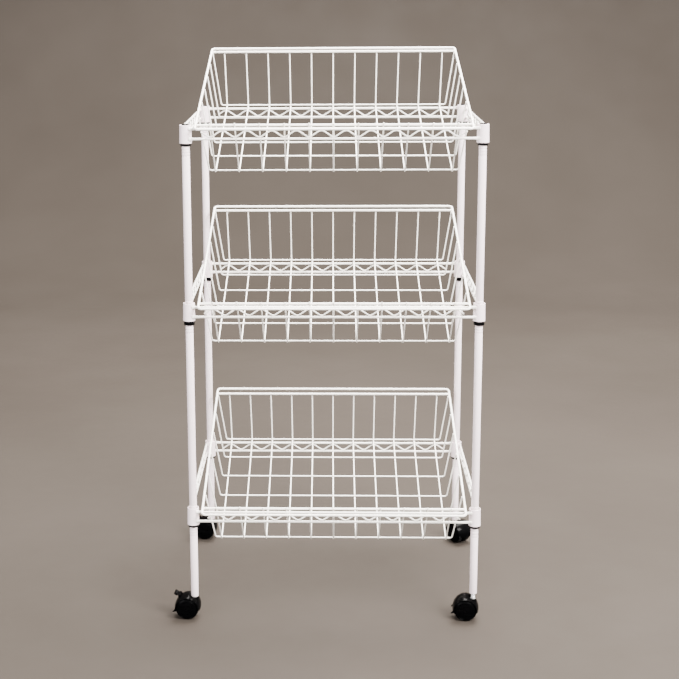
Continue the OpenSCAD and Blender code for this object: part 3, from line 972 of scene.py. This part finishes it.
def make_stems():
    """Pivot, collar and the helical thread that screws into each post."""
    shape = Shape()
    pitch, depth, around = 1.25, 0.36, 40
    low, high = SOCKET_TOP + 1.6, box_mm("caster_stems")[1].z
    for corner in CORNERS:
        place = Matrix.Translation(POSTS[corner])
        lathe(shape, [(0, PIVOT_BOTTOM), (3.1, PIVOT_BOTTOM), (3.5, PIVOT_BOTTOM + 0.4),
                      (3.5, SOCKET_TOP + 0.3), (SOCKET_R - 0.2, SOCKET_TOP + 0.3),
                      (SOCKET_R, SOCKET_TOP + 0.5), (SOCKET_R, SOCKET_TOP + 1.4),
                      (SOCKET_R - 0.25, SOCKET_TOP + 1.6), (0, SOCKET_TOP + 1.6)],
              place, segments=36, closed=False)
        rows = int((high - low) / 0.16)
        verts, faces = [], []
        for j in range(rows + 1):
            z = low + (high - low) * j / rows
            fade = min(1.0, (z - low) / 1.0, (high - z) / 1.0)
            for k in range(around):
                phase = ((z - low) / pitch - k / around) % 1.0
                ridge = 1 - abs(2 * phase - 1)
                r = THREAD_R - depth * (1 - min(1.0, ridge * 1.25)) * fade - 0.3 * (1 - fade)
                angle = 2 * math.pi * k / around
                verts.append(place @ Vector((r * math.cos(angle), r * math.sin(angle), z)))
        for j in range(rows):
            for k in range(around):
                m = (k + 1) % around
                a, b = j * around, (j + 1) * around
                faces.append((a + k, a + m, b + m, b + k))
        faces.append(tuple(range(around - 1, -1, -1)))
        faces.append(tuple(rows * around + k for k in range(around)))
        shape.add(verts, faces)
    shape.make("threaded_stem_set", ZINC, "cart", "steel", "caster_stems")


# ---------------------------------------------------------------- build everything

for corner in CORNERS:
    make_post(corner)
make_caps()
make_sockets()
make_stems()
for tier in TIERS:
    make_collars(tier)
    make_sleeves(tier)
    make_rails(tier)
    make_basket(tier)
for corner in CORNERS:
    caster = Caster(corner)
    braked = corner.endswith("left")
    hood_shape(caster, braked).make(
        f"caster_hood_{corner}", CASTER_BLACK, f"swivel_{corner}", "caster_plastic", f"caster_{corner}"
    )
    make_axle(caster)
    make_wheel(caster, "a", 1)
    make_wheel(caster, "b", -1)
    if braked:
        make_brake(caster)


# ---------------------------------------------------------------- stage, light, camera


def make_stage():
    """A plain floor that curves up into a plain backdrop."""
    f = Finish("studio_floor")
    cloud = f.spread(f.noise(1.3, 3, 0.6), 0.3, 0.7, 0.0, 1.0)
    f.link(f.mix(cloud, (0.030, 0.0245, 0.0202), (0.036, 0.0297, 0.0248)), f.shader, "Base Color")
    f.link(f.spread(f.noise(6, 3, 0.6), 0.3, 0.7, 0.62, 0.78), f.shader, "Roughness")
    f.set(Specular_IOR_Level=0.08)
    width, front, back, bend, top = 9.0, -7.0, 3.8, 1.6, 6.0
    profile = [(front, 0.0), (back - bend, 0.0)]
    for i in range(1, 17):
        angle = math.pi / 2 * i / 16
        profile.append((back - bend + bend * math.sin(angle), bend - bend * math.cos(angle)))
    profile.append((back, top))
    verts = [(x, y, z) for y, z in profile for x in (-width, width)]
    faces = [(2 * i, 2 * i + 1, 2 * i + 3, 2 * i + 2) for i in range(len(profile) - 1)]
    mesh = bpy.data.meshes.new("studio_sweep")
    mesh.from_pydata(verts, [], faces)
    mesh.shade_smooth()
    mesh.materials.append(f.material)
    sweep = bpy.data.objects.new("studio_sweep", mesh)
    bpy.context.scene.collection.objects.link(sweep)


def area_light(name, place, aim, size, power, colour):
    light = bpy.data.lights.new(name, "AREA")
    light.shape = "RECTANGLE"
    light.size, light.size_y = size
    light.energy = power
    light.color = colour
    lamp = bpy.data.objects.new(name, light)
    lamp.location = place
    lamp.rotation_euler = (Vector(aim) - Vector(place)).to_track_quat("-Z", "Y").to_euler()
    bpy.context.scene.collection.objects.link(lamp)


make_stage()
area_light("key_light", (2.3, -2.3, 3.0), (0, 0, 0.5), (2.0, 1.6), 1000, (1.0, 0.97, 0.94))
area_light("fill_light", (-2.7, -2.4, 1.7), (0, 0, 0.5), (2.0, 2.4), 150, (0.97, 0.97, 1.0))
area_light("top_light", (0.6, 1.1, 3.2), (0, 0, 0.4), (2.6, 2.0), 970, (1.0, 0.97, 0.93))



def make_world():
    """Soft light from all round, with a plain dim wall where the camera looks past the floor."""
    world = bpy.data.worlds.new("studio_world")
    world.use_nodes = True
    tree = world.node_tree
    glow = tree.nodes["Background"]
    glow.inputs["Color"].default_value = (0.80, 0.78, 0.76, 1)
    glow.inputs["Strength"].default_value = 2.15
    wall = tree.nodes.new("ShaderNodeBackground")
    wall.inputs["Color"].default_value = (0.150, 0.133, 0.120, 1)
    seen = tree.nodes.new("ShaderNodeLightPath")
    either = tree.nodes.new("ShaderNodeMixShader")
    tree.links.new(seen.outputs["Is Camera Ray"], either.inputs[0])
    tree.links.new(glow.outputs[0], either.inputs[1])
    tree.links.new(wall.outputs[0], either.inputs[2])
    tree.links.new(either.outputs[0], tree.nodes["World Output"].inputs["Surface"])
    bpy.context.scene.world = world


make_world()

lens = bpy.data.cameras.new("studio_camera")
lens.sensor_width = 36
lens.lens = 75.37
lens.shift_x, lens.shift_y = 0.08, -0.09
lens.clip_start, lens.clip_end = 0.05, 60
camera = bpy.data.objects.new("studio_camera", lens)
camera.location = (-0.00866, -2.4742, 1.0776)
heading = Matrix.Rotation(math.radians(1.782), 3, "Z")
pitch = Matrix.Rotation(math.radians(90 - 11.744), 3, "X")
roll = Matrix.Rotation(math.radians(-0.376), 3, "Z")
camera.rotation_euler = (heading @ pitch @ roll).to_euler()
bpy.context.scene.collection.objects.link(camera)
bpy.context.scene.camera = camera
